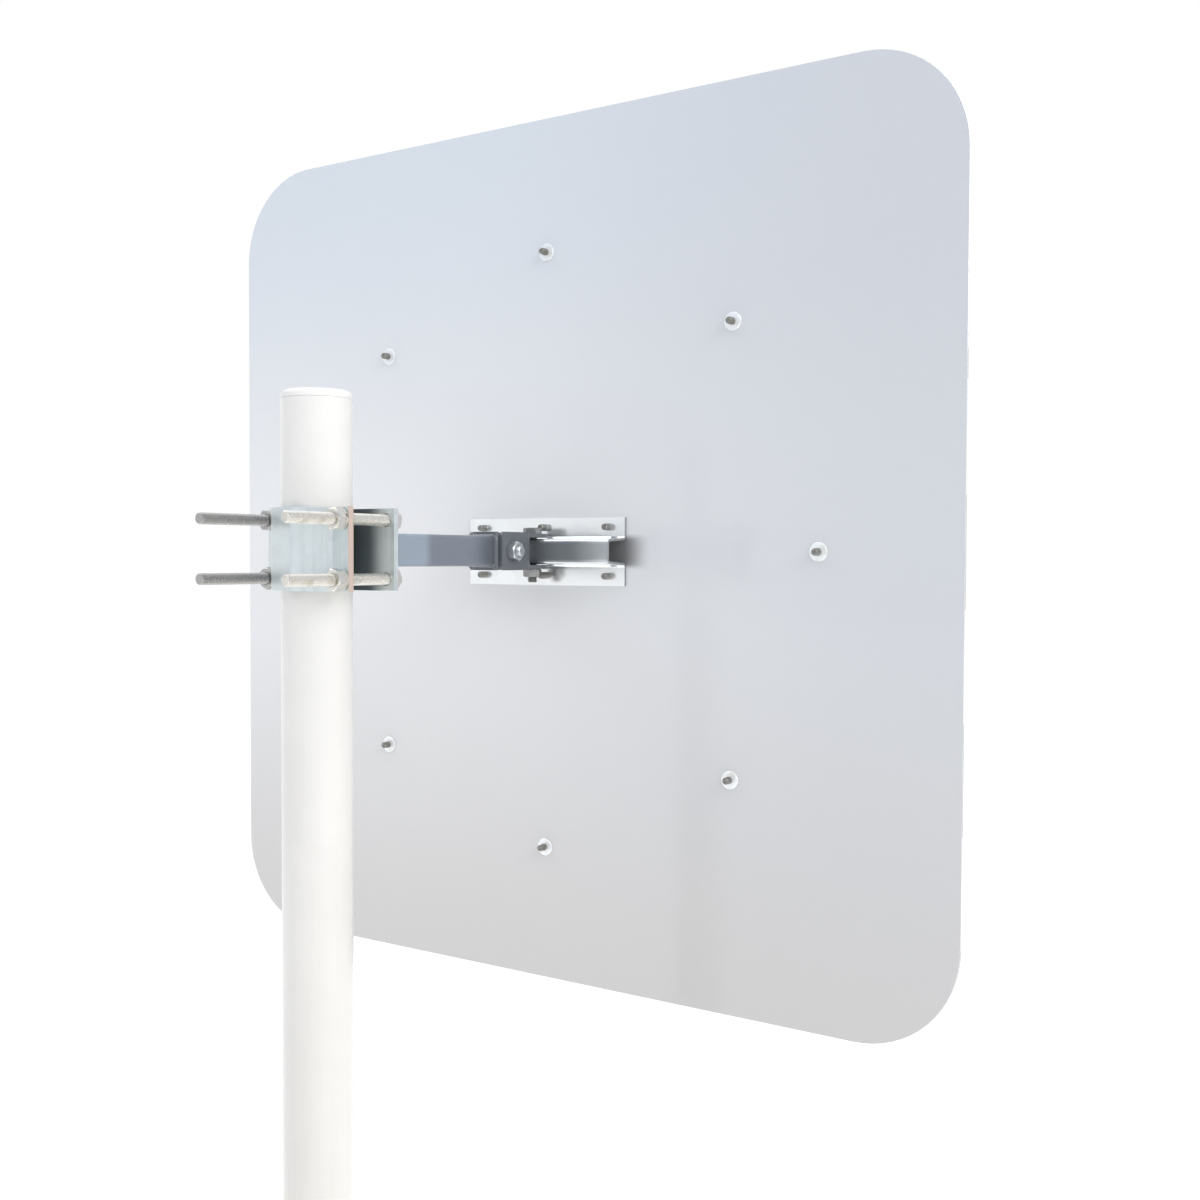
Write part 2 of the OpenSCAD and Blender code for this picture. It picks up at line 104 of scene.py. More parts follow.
class TrafficMirrorSizes(PropertyGroup):
    """Sizes of the details that the CAD model leaves out"""

    plate_edge: length("Plate edge", "Rounding of the edges of bent plates", 0.5 * MM)
    bolt_d: length("Bolt diameter", "Outside diameter of the bolts' threads", 10 * MM)
    thread_pitch: length("Thread pitch", "Distance from one turn of the thread to the next", 1.5 * MM)
    slit: length("Washer slit", "Opening of the spring washers", 1.4 * MM)
    weld_ripple: length("Weld ripple", "Height of the ripples on the weld beads", 0.35 * MM)
    rivet_waist: length("Rivet waist", "Depth of the waist in a set rivet's tail", 0.45 * MM)
    cap_groove: length("Cap groove", "Depth of the joint between the post and its cap", 0.25 * MM)
    floor_side: length("Floor side", "Side of the square floor", 60.0)
    thread_steps: IntProperty(name="Thread steps", description="Faces round one turn of a thread", default=24, min=8)
    round_steps: IntProperty(name="Round steps", description="Faces round a turned piece", default=48, min=12)


class TrafficMirrorColours(PropertyGroup):
    """Colours of the finishes"""

    post: colour("Post", "Gloss white paint of the post", 223, 221, 217)
    cap: colour("Cap", "White plastic of the post's cap", 225, 223, 220)
    panel: colour("Panel back", "Light grey lacquer on the panel's back", 222, 222, 222)
    panel_front: colour("Panel front", "White reflective sheeting", 236, 238, 238)
    jaw: colour("Jaw zinc", "Galvanised clamp jaws", 219, 226, 226)
    cut_edge: colour("Cut edge", "Bare and slightly rusted cut edge of a jaw", 182, 166, 157)
    bolt: colour("Bolt zinc", "Bright zinc on bolts, nuts and washers", 224, 221, 214)
    arm: colour("Arm paint", "Satin blue-grey paint of the arm", 121, 127, 137)
    # Partly painted shade: this dark grey also stands in for the shade on the yoke
    fork: colour("Fork paint", "Dark grey paint of the yoke and forks", 100, 104, 110)
    rail: colour("Rail zinc", "Bright zinc of the rail", 248, 250, 250)
    # Painted shade and reflection: a dark tone for the inner jaw's face beside the post
    jaw_shadow: colour("Patina", "Dark stain on the inner jaw beside the post", 68, 78, 82)
    base: colour("Base zinc", "Hot-dip zinc on the base plate", 176, 181, 183)
    rivet: colour("Rivet steel", "Plain steel of the rivets' tails", 140, 138, 133)
    rubber: colour("Rubber", "Black rubber of the seal", 32, 32, 33)
    ring: colour("Ring plastic", "Dark grey plastic of the mirror's ring", 52, 54, 57)
    film: colour("Film", "Black film blocks of the border", 24, 24, 26)
    mirror: colour("Mirror", "Silvered face of the mirror", 236, 240, 242)


def sizes():
    return bpy.context.scene.traffic_mirror_sizes


def colours():
    return bpy.context.scene.traffic_mirror_colours


# ---- Modelling ----


def only(obj):
    """Selects obj alone and makes it active."""
    bpy.ops.object.select_all(action="DESELECT")
    obj.select_set(True)
    bpy.context.view_layer.objects.active = obj
    return obj


@contextmanager
def editing(obj, kind="VERT", action="SELECT"):
    """Edit mode on obj, with all of it selected or none."""
    only(obj)
    bpy.ops.object.mode_set(mode="EDIT")
    bpy.ops.mesh.select_mode(type=kind)
    bpy.ops.mesh.select_all(action=action)
    yield obj
    bpy.ops.object.mode_set(mode="OBJECT")


def added(operator, **settings):
    """The object that an add operator makes, its place applied to its mesh."""
    bpy.ops.object.select_all(action="DESELECT")
    operator(**settings)
    bpy.ops.object.transform_apply(location=True, rotation=True, scale=True)
    return bpy.context.object


def modified(obj, kind, **settings):
    """Adds a modifier to obj and applies it."""
    only(obj)
    bpy.ops.object.modifier_add(type=kind)
    modifier = obj.modifiers[-1]
    for key, value in settings.items():
        setattr(modifier, key, value)
    bpy.ops.object.modifier_apply(modifier=modifier.name)
    return obj


def smoothed(obj, degrees=35):
    """Smooth shading across gentle edges, with flat faces kept flat."""
    only(obj)
    bpy.ops.object.shade_smooth_by_angle(angle=math.radians(degrees))
    return modified(obj, "WEIGHTED_NORMAL", weight=80, keep_sharp=True)


def turned(profile, sides=None, hollow=False):
    """A body turned about Z: a ring for each (radius, height) of the profile, joined in order."""
    (radius, height), *rest = profile
    obj = added(
        bpy.ops.mesh.primitive_circle_add,
        vertices=sides or sizes().round_steps,
        radius=radius,
        fill_type="NOTHING",
        location=(0, 0, height),
    )
    with editing(obj):
        for r, z in rest:
            bpy.ops.mesh.extrude_region_move(TRANSFORM_OT_translate={"value": (0, 0, z - height)})
            bpy.ops.transform.resize(value=(r / radius, r / radius, 1), center_override=(0, 0, z))
            radius, height = r, z
        bpy.ops.mesh.select_all(action="SELECT")
        if hollow:
            bpy.ops.mesh.remove_doubles(threshold=TINY)
        else:
            bpy.ops.mesh.fill_holes(sides=0)
            bpy.ops.mesh.select_all(action="SELECT")
        bpy.ops.mesh.normals_make_consistent(inside=False)
    return obj


def with_flats(obj, half, first=0.0):
    """Cuts six flats, at a distance half from the Z axis."""
    with editing(obj):
        for k in range(6):
            angle = first + k * math.pi / 3
            normal = Vector((math.cos(angle), math.sin(angle), 0))
            bpy.ops.mesh.select_all(action="SELECT")
            bpy.ops.mesh.bisect(plane_co=normal * half, plane_no=normal, use_fill=True, clear_outer=True)
    return obj


def drawn_line(points):
    """An open line through the points, drawn by extruding one vertex."""
    obj = added(bpy.ops.mesh.primitive_circle_add, vertices=3, radius=MM, location=points[0])
    with editing(obj):
        bpy.ops.mesh.merge(type="CENTER")
        bpy.ops.mesh.select_all(action="SELECT")
        for a, b in zip(points, points[1:]):
            bpy.ops.mesh.extrude_region_move(TRANSFORM_OT_translate={"value": tuple(Vector(b) - Vector(a))})
    return obj


def threaded(span, radius, chamfer):
    """A threaded rod from z = 0 to span, with both ends closed and the far one chamfered."""
    pitch = sizes().thread_pitch
    core = radius - THREAD_DEPTH * pitch
    tooth = ((core, 0), (radius, 0.354), (radius, 0.479), (core, 0.833), (core, 1))
    rod = drawn_line([(r, 0, (share + THREAD_START) * pitch) for r, share in tooth])
    steps = sizes().thread_steps
    modified(
        rod,
        "SCREW",
        axis="Z",
        steps=steps,
        render_steps=steps,
        iterations=math.ceil(span / pitch) + 3,
        screw_offset=pitch,
        use_merge_vertices=True,
        merge_threshold=TINY,
    )
    capped = {"use_fill": True, "clear_outer": True}
    with editing(rod):
        bpy.ops.mesh.remove_doubles(threshold=0.01 * MM)
        bpy.ops.mesh.normals_make_consistent(inside=False)
        bpy.ops.mesh.bisect(plane_co=(0, 0, 0), plane_no=(0, 0, -1), threshold=TINY, **capped)
        bpy.ops.mesh.select_all(action="SELECT")
        bpy.ops.mesh.bisect(plane_co=(0, 0, span), plane_no=(0, 0, 1), threshold=TINY, **capped)
        bpy.ops.mesh.select_all(action="SELECT")
        bpy.ops.mesh.normals_make_consistent(inside=False)
    for v in rod.data.vertices:
        r, allowed = math.hypot(v.co.x, v.co.y), radius - max(0.0, v.co.z - (span - chamfer))
        if r > allowed:
            v.co.x *= allowed / r
            v.co.y *= allowed / r
    return smoothed(rod, CRISP)


def joined(objects):
    """One object out of several."""
    only(objects[0])
    for obj in objects[1:]:
        obj.select_set(True)
    bpy.ops.object.join()
    return objects[0]


def repeated(obj, places):
    """Copies of obj at every place, in one object. Each place is a matrix."""
    copies = []
    for place in places:
        only(obj)
        bpy.ops.object.duplicate(linked=False)
        copy = bpy.context.object
        copy.data.transform(place)
        copies.append(copy)
    only(obj)
    bpy.ops.object.delete()
    return joined(copies)


def facing_x(boxes, turns, start=None):
    """A place for a part modelled along Z on each box: laid along X from start, or from the box's low end, and
    turned by so many degrees."""
    return [
        Matrix.Translation((box[0].x if start is None else start, middle(box).y, middle(box).z))
        @ ALONG_X
        @ Matrix.Rotation(math.radians(angle), 4, "Z")
        for box, angle in zip(boxes, turns)
    ]


def hex_blank(across, height, bore=0.0, lower=True):
    """A turned blank cut to a hexagon from z = 0 up, with the usual 30 degree chamfers."""
    corner, face = across / math.sqrt(3) + 0.02 * MM, across * 0.475
    drop = (corner - face) * math.tan(math.radians(30))
    outer = [(face, 0), (corner, drop)] if lower else [(face, 0), (corner, 0.15 * MM)]
    outer += [(corner, height - drop), (face, height)]
    if not bore:
        dish = 0.25 * MM
        return with_flats(turned([*outer, (face * 0.8, height - dish / 3), (face * 0.6, height - dish)]), across / 2)
    mouth = bore * 1.08
    inner = [(mouth, height), (bore, height - (mouth - bore)), (bore, mouth - bore), (mouth, 0), (face, 0)]
    return with_flats(turned([*outer, *inner], hollow=True), across / 2)


def hex_bolt(under_head, head_h):
    """A hexagon bolt along Z: head above z = 0, thread down to -under_head."""
    d = sizes().bolt_d
    rod = threaded(under_head + 0.4 * MM, d / 2 - 0.02 * MM, 0.8 * MM)
    rod.data.transform(Matrix.Translation((0, 0, 0.4 * MM)) @ Matrix.Rotation(math.pi, 4, "X"))
    head = smoothed(hex_blank(HEX_ACROSS * d, head_h, lower=False), CRISP)
    return joined([head, rod])


def hex_nut(height):
    """A nut along Z, from z = 0 up, with a plain bore just over the thread."""
    d = sizes().bolt_d
    return smoothed(hex_blank(HEX_ACROSS * d, height, bore=d / 2 + NUT_PLAY), CRISP)


def spring_washer(r_out, r_in, thick):
    """A split ring from z = 0 up, with a slanted slit."""
    width, slit = r_out - r_in, sizes().slit
    ring = added(
        bpy.ops.mesh.primitive_plane_add,
        size=1,
        location=((r_out + r_in) / 2, 0, thick / 2),
        rotation=(math.pi / 2, 0, 0),
        scale=(width, thick, 1),
    )
    for v in ring.data.vertices:
        v.co.x = (r_out + r_in) / 2 + math.copysign(width / 2, v.co.x - (r_out + r_in) / 2)
        v.co.z = thick / 2 + math.copysign(thick / 2, v.co.z - thick / 2)
    with editing(ring):
        bpy.ops.mesh.bevel(affect="VERTICES", offset=0.25 * MM, segments=2)
        bpy.ops.mesh.select_all(action="SELECT")
        bpy.ops.mesh.spin(
            steps=44, angle=2 * math.pi - 2 * slit / (r_out + r_in), center=(0, 0, 0), axis=(0, 0, 1), dupli=False
        )
        bpy.ops.mesh.select_all(action="SELECT")
        bpy.ops.mesh.remove_doubles(threshold=TINY)
        bpy.ops.mesh.normals_make_consistent(inside=False)
    for v in ring.data.vertices:
        angle = math.atan2(v.co.y, v.co.x)
        slant = 0.6 * (v.co.z / thick - 0.5) * slit / r_out * math.cos(angle / 2) ** 8
        x, y = v.co.x, v.co.y
        v.co.x, v.co.y = x - y * slant * 2, y + x * slant * 2
    return smoothed(ring)


def blind_rivet(tail_r, tail_len, grip, head_r):
    """A set blind rivet along Z: tail from -tail_len to 0, head above z = grip."""
    waist = sizes().rivet_waist
    shank = tail_r * 0.66
    head_t = head_r / 3.5
    hollow = shank / 2
    tail = [
        (hollow * 0.5, -tail_len * 0.9),
        (hollow, -tail_len * 0.97),
        (tail_r * 0.62, -tail_len),
        (tail_r * 0.84, -tail_len * 0.95),
        (tail_r * 0.95, -tail_len * 0.85),
        (tail_r * 0.95, -tail_len * 0.72),
        (tail_r - waist, -tail_len * 0.6),
        (tail_r * 0.98, -tail_len * 0.48),
        (tail_r, -tail_len * 0.32),
        (tail_r, -tail_len * 0.14),
        (tail_r * 0.94, -tail_len * 0.04),
        (tail_r * 0.86, 0),
    ]
    head = [
        (shank, 0),
        (shank, grip),
        (head_r * 0.94, grip),
        (head_r, grip + 0.2 * head_t),
        (head_r * 0.93, grip + 0.5 * head_t),
        (head_r * 0.7, grip + 0.84 * head_t),
        (head_r * 0.42, grip + head_t),
        (hollow * 1.1, grip + 0.98 * head_t),
        (hollow * 0.9, grip + 0.75 * head_t),
        (hollow * 0.5, grip + 0.7 * head_t),
    ]
    return smoothed(turned(tail + head, 32), 50)


def weld_bead(path, section, ripples, amount):
    """A closed bead along a path of (point, outward) pairs. Each (out, up) of the section is measured from the
    path along outward and X or Z, and ripples raise all of it but the first two points, which lie in the metal."""
    count, around = len(path), len(section)
    bead = added(
        bpy.ops.mesh.primitive_torus_add,
        major_segments=count,
        minor_segments=around,
        major_radius=0.05,
        minor_radius=0.005,
    )
    travelled, total = [0.0], 0.0
    for (a, _, _), (b, _, _) in zip(path, [*path[1:], path[0]]):
        total += (b - a).length
        travelled.append(total)
    for i, (point, outward, up) in enumerate(path):
        for j, (out, rise) in enumerate(section):
            phase = 2 * math.pi * ripples * travelled[i] / total
            wave = (0.5 + 0.5 * math.sin(phase + 1.6 * rise / section[-1][1])) ** 0.6 if j > 1 else 0.0
            wander = noise.noise(point * 180) * 0.8 * amount if j > 1 else 0.0
            grow = 1 + (amount * wave + wander) / math.hypot(section[3][0], section[3][1])
            bead.data.vertices[i * around + j].co = point + outward * out * grow + up * rise * grow
    with editing(bead):
        bpy.ops.mesh.normals_make_consistent(inside=False)
    return smoothed(bead, 60)


def solids(node):
    """(lowest corner, highest corner) of each separate solid of a CAD node, in order of Y and Z."""
    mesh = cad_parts[node].data
    keys = [tuple(round(c, 6) for c in v.co) for v in mesh.vertices]
    parent = {k: k for k in keys}

    def root(k):
        while parent[k] != k:
            parent[k] = parent[parent[k]]
            k = parent[k]
        return k

    for polygon in mesh.polygons:
        first, *others = (root(keys[i]) for i in polygon.vertices)
        for other in others:
            parent[root(other)] = root(first)
    groups = {}
    for k in parent:
        groups.setdefault(root(k), []).append(k)
    boxes = [(Vector(map(min, zip(*g))), Vector(map(max, zip(*g)))) for g in groups.values()]
    return sorted(boxes, key=lambda b: tuple(round((p + q) / 2, 4) for p, q in zip(*b))[1:])


def middle(box):
    return (box[0] + box[1]) / 2


def refined(node, edge=None, angle=30, segments=2, smooth=35):
    """A copy of a CAD node with its loose triangles merged and its sharp edges rounded."""
    obj = bpy.data.objects.new(node + "_copy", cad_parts[node].data.copy())
    bpy.context.scene.collection.objects.link(obj)
    only(obj)
    bpy.ops.mesh.customdata_custom_splitnormals_clear()
    with editing(obj):
        bpy.ops.mesh.remove_doubles(threshold=TINY)
        bpy.ops.mesh.dissolve_limited(angle_limit=math.radians(0.4))
    edge = sizes().plate_edge if edge is None else edge
    if edge:
        modified(
            obj,
            "BEVEL",
            width=edge,
            segments=segments,
            limit_method="ANGLE",
            angle_limit=math.radians(angle),
            use_clamp_overlap=False,
        )
    return smoothed(obj, smooth)


def placed(obj, name, body, slot, finish, *nodes):
    """Names a finished piece, gives it its finish, and ties it to its CAD body and nodes."""
    obj.name = obj.data.name = name
    obj.data.materials.clear()
    obj.data.materials.append(finish.material)
    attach(obj, body)
    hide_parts(*nodes)
    return obj


def coated(node, finish):
    """A CAD node that stays as it is, with a finish in all of its material slots."""
    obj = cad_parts[node]
    for slot in obj.material_slots:
        slot.material = finish.material


# ---- Finishes ----


class Value:
    """An output of a material's node. Python's operators on it add Math nodes."""

    def __init__(self, finish, socket):
        self.finish, self.socket = finish, socket

    def math(self, operation, *others, back=False):
        terms = [self, *others]
        if back:
            terms.reverse()
        return self.finish.node("ShaderNodeMath", {"operation": operation}, dict(enumerate(terms)))

    def __add__(self, other):
        return self.math("ADD", other)

    def __sub__(self, other):
        return self.math("SUBTRACT", other)

    def __rsub__(self, other):
        return self.math("SUBTRACT", other, back=True)

    def __mul__(self, other):
        return self.math("MULTIPLY", other)

    def __abs__(self):
        return self.math("ABSOLUTE")

    __radd__, __rmul__ = __add__, __mul__

    def most(self, other):
        return self.math("MAXIMUM", other)


class Nodes:
    """A node tree whose nodes are added by one method."""

    def __init__(self, tree, output):
        self.tree = tree
        self.place = self.node("ShaderNodeTexCoord", {}, {}, output)

    def node(self, kind, settings, inputs, output=0):
        """Adds a node, with its settings first and then the values or links of its inputs."""
        made = self.tree.nodes.new(kind)
        for key, value in settings.items():
            setattr(made, key, value)
        for key, value in inputs.items():
            if isinstance(value, Value):
                self.tree.links.new(value.socket, made.inputs[key])
            else:
                made.inputs[key].default_value = value
        return Value(self, made.outputs[output])

    def axis(self, letter, place=None):
        return self.node("ShaderNodeSeparateXYZ", {}, {0: place or self.place}, letter)

    def stretched(self, x, y, z, turn=(0.0, 0.0, 0.0)):
        """The piece's coordinates with a scale for each axis."""
        return self.node("ShaderNodeMapping", {}, {"Vector": self.place, "Scale": (x, y, z), "Rotation": turn})

    def along(self, direction):
        """How far each point lies along a direction."""
        settings = {"operation": "DOT_PRODUCT"}
        return self.node("ShaderNodeVectorMath", settings, {0: self.place, 1: direction}, "Value")

    def clouds(self, scale, detail=2.0, rough=0.5, place=None):
        inputs = {"Vector": place or self.place, "Scale": scale, "Detail": detail, "Roughness": rough}
        return self.node("ShaderNodeTexNoise", {}, inputs)

    def cells(self, scale, feature="F1", output="Distance", place=None, spread=1.0):
        inputs = {"Vector": place or self.place, "Scale": scale, "Randomness": spread}
        return self.node("ShaderNodeTexVoronoi", {"feature": feature}, inputs, output)

    def grey_of(self, colour_value):
        return self.node("ShaderNodeSeparateColor", {}, {0: colour_value}, 0)

    def between(self, value, low, high):
        """0 at low and 1 at high, with a soft start and end."""
        inputs = {"Value": value, "From Min": low, "From Max": high}
        return self.node("ShaderNodeMapRange", {"interpolation_type": "SMOOTHSTEP"}, inputs)

    def blend(self, share, first, second):
        """A colour mixed from two, each a colour or a link."""
        full = [c if isinstance(c, Value) else (*c, 1.0) for c in (first, second)]
        return self.node("ShaderNodeMix", {"data_type": "RGBA"}, {0: share, 6: full[0], 7: full[1]}, 2)


class Finish(Nodes):
    """A procedural material on the piece's own Object coordinates."""

    def __init__(self, name, **constants):
        self.material = bpy.data.materials.new(name)
        self.material.use_nodes = True
        self.shader = self.material.node_tree.nodes["Principled BSDF"]
        for socket, value in constants.items():
            self.shader.inputs[socket.replace("_", " ")].default_value = value
        super().__init__(self.material.node_tree, "Object")

    def drive(self, **sockets):
        for socket, value in sockets.items():
            self.tree.links.new(value.socket, self.shader.inputs[socket.replace("_", " ")])
        return self

    def rough(self, height, strength, distance):
        """Bump from a height."""
        inputs = {"Strength": strength, "Distance": distance, "Height": height}
        bump = self.node("ShaderNodeBump", {}, inputs)
        return self.drive(Normal=bump)


def shade(base, factor):
    """A colour made lighter or darker."""
    return tuple(min(1.0, c * factor) for c in base)


def tinted(base, *factors):
    return tuple(min(1.0, c * f) for c, f in zip(base, factors))


def painted(name, base, gloss=0.28, coat=0.3, peel=0.35, dirt=0.12, darkens_below=0.0, zones=None, **more):
    """Sprayed paint: a slight orange peel, faint clouds of colour and a little dirt. A height may be given below which
    the paint turns darker and warmer towards the ground, in streaks; zones lists places of another tone, each with its
    share and colour."""
    finish = Finish(name, Coat_Roughness=0.08, **more)
    clouds = finish.clouds(9, 4, 0.55)
    fine = finish.clouds(160, 3, 0.6)
    grime = finish.between(finish.clouds(24, 5, 0.65), 0.56, 0.74) * dirt
    colour_now = finish.blend(finish.between(clouds, 0.3, 0.7), shade(base, 0.965), shade(base, 1.02))
    colour_now = finish.blend(grime, colour_now, tinted(base, 0.66, 0.63, 0.58))
    # Darker and warmer towards the ground, in streaks, below the given height
    if darkens_below:
        low = 1 - finish.between(finish.axis("Z"), 0.1, darkens_below)
        runs = finish.between(finish.clouds(60, 4, 0.6, finish.stretched(1, 1, 0.04)), 0.3, 0.75)
        colour_now = finish.blend(low * (0.45 + 0.45 * runs), colour_now, tinted(base, 0.76, 0.72, 0.64))
    for share, tone in zones(finish) if zones else ():
        colour_now = finish.blend(share, colour_now, tone)
    roughness = gloss - 0.05 + 0.08 * fine + 0.25 * grime
    finish.drive(Base_Color=colour_now, Roughness=roughness, Coat_Weight=coat - coat * grime)
    return finish.rough(finish.clouds(650, 2, 0.5) + 0.3 * finish.clouds(2400, 1, 0.5), peel, 0.00012)


def galvanised(name, base, grain=95, metal=0.75, gloss=0.36, contrast=0.1, edge=None, edge_and_shade_mask=None, streaks=0.0):
    """Zinc with a soft spangle. The mask given with edge, from 0 to 1, shows where the edge colour comes through, as
    the bare cut edge of a jaw and as painted shade on the inner jaw and the rail's web.
    """
    finish = Finish(name, Metallic=metal)
    drift = finish.node("ShaderNodeTexNoise", {}, {"Vector": finish.place, "Scale": 60.0, "Detail": 2.0}, 1)
    terms = {0: drift, 1: (0.006, 0.006, 0.006), 2: finish.place}
    warped = finish.node("ShaderNodeVectorMath", {"operation": "MULTIPLY_ADD"}, terms)
    spangle = finish.grey_of(finish.cells(grain, output="Color", place=warped))
    soft = finish.clouds(38, 4, 0.6)
    value = spangle * 0.55 + soft * 0.45
    colour_now = finish.blend(
        finish.between(value, 0.15, 0.85), shade(base, 1 - contrast), shade(base, 1 + contrast * 0.7)
    )
    scratches = finish.clouds(260, 3, 0.7, finish.stretched(1, 1, 0.05))
    if streaks:
        drawn = finish.clouds(210, 3, 0.6, finish.stretched(1, 1, 0.06))
        colour_now = finish.blend(finish.between(drawn, 0.42, 0.75) * streaks, colour_now, shade(base, 0.72))
    metallic = None
    # The edge colour, with a warm mottle: a bare cut edge on the outer jaw, painted shade on the inner jaw and the
    # rail's web
    if edge_and_shade_mask:
        mask = edge_and_shade_mask(finish)
        rust = finish.clouds(700, 4, 0.65)
        bare_edge_and_shade = finish.blend(finish.between(rust, 0.35, 0.7), edge, tinted(edge, 1.18, 1.1, 1.0))
        colour_now = finish.blend(mask, colour_now, bare_edge_and_shade)
        metallic = metal - mask * (metal * 0.85)
    roughness = gloss - 0.08 + 0.16 * value + 0.1 * scratches
    finish.drive(Base_Color=colour_now, Roughness=roughness)
    if metallic:
        finish.drive(Metallic=metallic)
    return finish.rough(spangle * 0.25 + soft * 0.5 + 0.35 * scratches, 0.22, 0.00025)


def bright_zinc(name, base, gloss=0.26, metal=1.0, shaded=None):
    """Plated fasteners: shiny, with dull spots and fine pits. An optional mask from 0 to 1 shows where painted shade
    greys them.
    """
    finish = Finish(name, Metallic=metal)
    dull = finish.between(finish.clouds(120, 3, 0.5), 0.46, 0.72)
    colour_now = finish.blend(dull, base, tinted(base, 0.86, 0.84, 0.79))
    if shaded:
        colour_now = finish.blend(shaded(finish), colour_now, tinted(base, 0.6, 0.61, 0.63))
    finish.drive(Base_Color=colour_now, Roughness=gloss + 0.16 * dull)
    return finish.rough(finish.clouds(900, 3, 0.6), 0.12, 0.00008)


def moulded(name, base, gloss=0.5, grain=1400, depth=0.0001, **more):
    """Moulded plastic or rubber with a fine grain."""
    finish = Finish(name, **more)
    clouds = finish.clouds(14, 3, 0.5)
    finish.drive(
        Base_Color=finish.blend(finish.between(clouds, 0.3, 0.7), shade(base, 0.93), shade(base, 1.05)),
        Roughness=gloss - 0.06 + 0.12 * finish.clouds(120, 3, 0.6),
    )
    return finish.rough(finish.cells(grain) + 0.4 * finish.clouds(grain * 1.7, 2, 0.5), 0.3, depth)


# ---- Pieces ----


class TRAFFIC_MIRROR_OT_post(Operator):
    """Painted post and the domed cap in its top"""

    bl_idname = "traffic_mirror.post"
    bl_label = "Post and Cap"

    def execute(self, context):
        white = painted("gloss white paint", colours().post, gloss=0.24, coat=0.35, peel=0.4, dirt=0.07, darkens_below=1.9)
        placed(refined("post_tube", 0), "post", "post", "post_paint", white, "post_tube")
        low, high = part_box("post_cap")
        radius, joint = high.x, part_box("post_tube")[1].z
        top, groove, corner = high.z, sizes().cap_groove, 5 * MM
        plug = radius - 3.4 * MM
        arc = [math.radians(a) for a in range(0, 91, 15)]
        shoulder = [
            (radius - corner + corner * math.cos(a), top - 0.6 * MM - corner + corner * math.sin(a)) for a in arc
        ]
        crown = [(radius * s, top - 0.6 * MM * (s / 0.83) ** 2) for s in (0.7, 0.5, 0.3, 0.12)]
        skirt = [(plug * 0.94, low.z), (plug, low.z + 2 * MM), (plug, joint), (radius - groove * 2, joint)]
        skirt += [(radius - groove * 2, joint + 0.25 * MM), (radius, joint + 0.6 * MM)]
        cap = turned([*skirt, *shoulder, *crown], 96)
        cap_white = moulded("white cap plastic", colours().cap, gloss=0.34, grain=900, depth=0.00006)
        placed(smoothed(cap, 40), "cap", "post", "cap_plastic", cap_white, "post_cap")
        return {"FINISHED"}


class TRAFFIC_MIRROR_OT_base(Operator):
    """Base plate and the weld round the post's foot"""

    bl_idname = "traffic_mirror.base"
    bl_label = "Base Plate and Weld"

    def execute(self, context):
        zinc = galvanised("hot-dip zinc", colours().base, grain=70, metal=0.7, gloss=0.45, contrast=0.16)
        placed(refined("base_plate", 0.8 * MM), "foot_plate", "post", "base_zinc", zinc, "base_plate")
        low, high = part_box("base_weld")
        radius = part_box("post_tube")[1].x
        leg = high.z - low.z
        path = []
        for k in range(240):
            outward = Vector((math.cos(math.radians(k * 1.5)), math.sin(math.radians(k * 1.5)), 0))
            path.append((outward * radius + Vector((0, 0, low.z)), outward, Vector((0, 0, 1))))
        inner = 0.3 * MM
        section = [(-inner, 0.0), (leg * 0.93, 0.0), (leg * 0.72, leg * 0.3), (leg * 0.4, leg * 0.52)]
        section += [(leg * 0.16, leg * 0.78), (-inner, leg * 0.93)]
        dull = galvanised("zinc on welds", shade(colours().base, 0.92), grain=160, metal=0.6, gloss=0.5, contrast=0.14)
        bead = weld_bead(path, section, 58, sizes().weld_ripple)
        placed(bead, "foot_weld", "post", "weld_zinc", dull, "base_weld")
        return {"FINISHED"}


class TRAFFIC_MIRROR_OT_jaws(Operator):
    """Flat inner jaw and hat-shaped outer jaw of the pole clamp"""

    bl_idname = "traffic_mirror.jaws"
    bl_label = "Clamp Jaws"

    def execute(self, context):
        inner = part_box("inner_jaw")
        side = (inner[1].y - inner[0].y) / 2 - 0.5 * MM

        # Painted shade and reflection: the inner jaw's face turns dark towards the post
        def shadow(finish):
            near_post = finish.between(side - abs(finish.axis("Y")), 4 * MM, 30 * MM)
            return near_post * (1.0 - finish.between(finish.axis("X"), inner[0].x + 1 * MM, inner[0].x + 2 * MM))

        look = {"grain": 120, "metal": 0.88, "gloss": 0.3, "contrast": 0.035}
        plain = galvanised(
            "zinc of the inner jaw", colours().jaw, edge=tuple(colours().jaw_shadow), edge_and_shade_mask=shadow, streaks=0.35, **look
        )
        placed(refined("inner_jaw"), "jaw_inner", "arm", "jaw_zinc", plain, "inner_jaw")
        # The outer jaw sits askew, so its ends are found along its own length
        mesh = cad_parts["outer_jaw"].data
        skew = self.skew_of(mesh)
        across = Vector((math.sin(skew), math.cos(skew), 0))
        end = max(abs(v.co.dot(across)) for v in mesh.vertices) - 0.5 * MM

        def outer_edges(finish):
            return finish.between(abs(finish.along(tuple(across))), end, end + 0.2 * MM)

        rust = tuple(colours().cut_edge)
        bent = galvanised(
            "zinc of the outer jaw", colours().jaw, edge=rust, edge_and_shade_mask=outer_edges, streaks=0.25, **look
        )
        placed(refined("outer_jaw"), "jaw_outer", "arm", "jaw_zinc", bent, "outer_jaw")
        return {"FINISHED"}

    @staticmethod
    def skew_of(mesh):
        """Angle by which the outer jaw is turned about the post, from the normals of its ends."""
        best = max((p for p in mesh.polygons if p.normal.y > 0.9), key=lambda p: p.center.y + p.area)
        return math.atan2(best.normal.x, best.normal.y)


